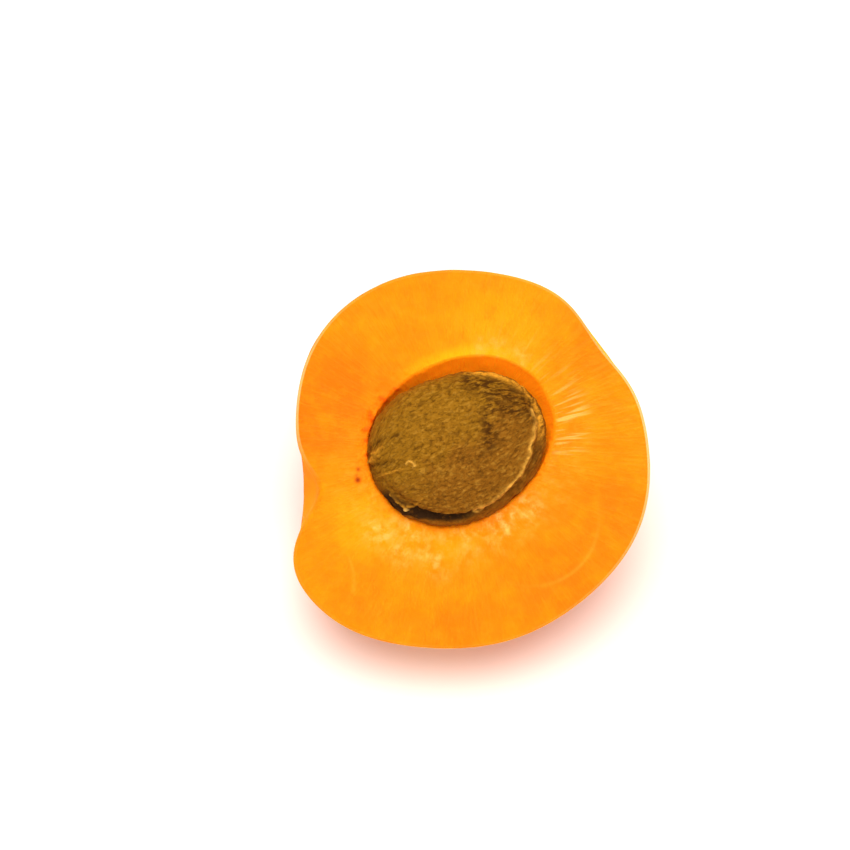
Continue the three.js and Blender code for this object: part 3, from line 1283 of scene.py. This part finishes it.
        # Each vertex's wrinkle height, read for the painted highlight on crests and painted shade in pits.
        paint(piece, "raised", 0.5 + 0.5 * wrinkles)
        paint_vectors(piece, "along", along)
        piece.data.materials.clear()
        piece.data.materials.append(StoneFinish().make())
        for polygon in piece.data.polygons:
            polygon.use_smooth = True
        return piece

    def paint_masks(self, piece: bpy.types.Object, bearing: np.ndarray, latitude: np.ndarray,
                    local: np.ndarray) -> None:
        """Keeps where the ridges, dark strands and painted shade in furrow and grooves are, for the material.

        Args:
            piece: The stone.
            bearing: Each vertex's bearing.
            latitude: Each vertex's latitude.
            local: Each vertex's place from the stone's middle, before its wrinkles.
        """
        upper = smooth_step(local[:, 2], 0.0, self.upper_rise)
        paint(piece, "on_ridge", upper * nearest((self.ridge, self.hook), local))
        amber = upper * self.base_ridge_strength * nearest(self.base_ridges, local)
        paint(piece, "amber_edged", np.maximum(self.tip_edge(bearing, latitude), amber))
        paint(piece, "chipped", upper * self.chip.nearness(local))
        # The furrow's painted shade.
        paint(piece, "shaded_furrow", self.blackened(bearing, latitude))
        streaks = nearest(self.dark_streaks, local)
        grooves = nearest(self.base_grooves, local)
        margin = hill(np.abs(latitude) - self.margin_rows[0], self.margin_rows[1])
        margin = margin * self.margin_side.nearness(bearing)
        # Painted shade in the base grooves, beside the dark streaks and the furrow's dark margin.
        dark = upper * (streaks + self.groove_shade * grooves) + margin
        paint(piece, "dark_strands_and_shade", np.clip(dark, 0.0, 1.0))
        paint(piece, "rusty", self.rust_strength * hill(latitude - self.rust_rows[0], self.rust_rows[1]))
        # Painted light: how far each vertex lies towards the lighter side.
        towards_light = local[:, :2] @ np.array(self.lit_side_way)
        paint(piece, "lit_side", smooth_step(towards_light, -self.lit_side_reach, self.lit_side_reach))

    def tip_edge(self, bearing: np.ndarray, latitude: np.ndarray) -> np.ndarray:
        """1 on the thin rim round the tip end, where flesh still clings, and 0 away from it."""
        beyond = smooth_step(np.abs(turn_from(self.clinging_bearing, bearing)), *self.clinging_ends)
        return hill(latitude - self.clinging_rows[0], self.clinging_rows[1]) * (1.0 - beyond)

    def blackened(self, bearing: np.ndarray, latitude: np.ndarray) -> np.ndarray:
        """Finds the black part of the furrow, at its stem end: painted shade in the recess, with some stain.

        Args:
            bearing: Each vertex's bearing.
            latitude: Each vertex's latitude.

        Returns:
            For each vertex, 1 in that part and 0 away from it.
        """
        turn = turn_from(self.black_bearing, bearing)
        stem_end = smooth_step(-turn, *self.black_step)
        above = smooth_step(latitude - lerp(*self.black_lowest, stem_end), 0.0, 5.0)
        beyond = smooth_step(latitude - lerp(*self.black_highest, stem_end), -3.0, 4.0)
        return self.black_turns.share(turn) * above * (1.0 - beyond)


@dataclass
class Studio:
    """A pale floor, soft light from above and behind, and the camera."""

    lying: Lying
    floor_width: float = 6.0
    # A little warm, which shows only where the fruit shades the floor.
    floor_colour: Colour = (0.92, 0.80, 0.73, 1.0)
    sky_strength: float = 0.46
    focal_length: float = 100.0
    sensor: float = 36.0
    frame_pixels: float = 850.0
    pixels_per_mm: float = 7.6
    # Where the middle of the cut face is in the photograph.
    face_pixel: tuple[float, float] = (464.4, 460.4)

    def build(self) -> None:
        """Adds the floor, the lights and the camera."""
        self.add_floor()
        self.add_sky()
        self.add_sun("key", (-0.02, 0.05, 0.87), 42.0, 3.4)
        self.add_sun("fill", (0.12, -0.5, 0.7), 35.0, 0.55)
        self.add_camera()

    def add_floor(self) -> None:
        """Adds a wide pale floor."""
        deselect_all()
        bpy.ops.mesh.primitive_plane_add(size=self.floor_width)
        floor = bpy.context.active_object
        floor.name = "floor"
        shader = Shader("floor_white")
        finish = shader.finish(Base_Color=self.floor_colour, Roughness=0.9, Specular_IOR_Level=0.1)
        floor.data.materials.append(finish)

    def add_sky(self) -> None:
        """Even white light from all round."""
        world = bpy.data.worlds.new("white_room")
        world.use_nodes = True
        background = world.node_tree.nodes["Background"]
        background.inputs["Color"].default_value = (1.0, 1.0, 1.0, 1.0)
        background.inputs["Strength"].default_value = self.sky_strength
        bpy.context.scene.world = world
        bpy.context.scene.view_settings.view_transform = "Standard"

    def add_sun(self, name: str, towards: tuple[float, float, float], spread: float, strength: float) -> None:
        """A soft light from far away.

        Args:
            name: The light's name.
            towards: The way to it from the fruit.
            spread: How wide it looks, in degrees.
            strength: Its power on each square metre, in watts.
        """
        deselect_all()
        bpy.ops.object.light_add(type="SUN", location=towards)
        sun = bpy.context.active_object
        sun.name = name
        sun.data.angle = np.radians(spread)
        sun.data.energy = strength
        sun.rotation_euler = Vector(towards).to_track_quat("Z", "Y").to_euler()

    def add_camera(self) -> None:
        """The camera looks straight at the cut face, with its middle where the photograph has it."""
        elevation = 90.0 - self.lying.lean
        forward = np.array([0.0, cosine(elevation), -sine(elevation)])
        up = np.array([0.0, sine(elevation), cosine(elevation)])
        distance = self.focal_length / self.sensor * self.frame_pixels / self.pixels_per_mm
        middle = self.frame_pixels / 2.0
        across = (self.face_pixel[0] - middle) / self.pixels_per_mm
        down = (self.face_pixel[1] - middle) / self.pixels_per_mm
        place = np.array(self.lying.face_centre) - np.array([across, 0.0, 0.0])
        place = place + up * down - forward * distance
        bpy.ops.object.camera_add(location=Vector(place * MM))
        camera = bpy.context.active_object
        camera.name = "camera"
        camera.data.lens = self.focal_length
        camera.data.sensor_width = self.sensor
        camera.data.clip_start = 0.01
        camera.rotation_euler = Vector(forward).to_track_quat("-Z", "Y").to_euler()
        bpy.context.scene.camera = camera


def hand_over(piece: bpy.types.Object, node: str) -> None:
    """Lets a piece stand for its CAD node.

    Args:
        piece: The finished piece.
        node: The CAD node that it replaces.
    """
    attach(piece, BODY)
    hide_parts(node)
    LOG.info("%s stands for %s, with %d faces", piece.name, node, len(piece.data.polygons))


def main() -> None:
    """Builds the pieces and the studio in order."""
    logging.basicConfig(level=logging.INFO, format="%(relativeCreated)6d ms  %(message)s")
    lying = Lying()
    Studio(lying).build()
    hand_over(FruitHalf(lying).build(), "fruit_half")
    hand_over(Stone(lying).build(), "stone")


if __name__ == "__main__":
    main()
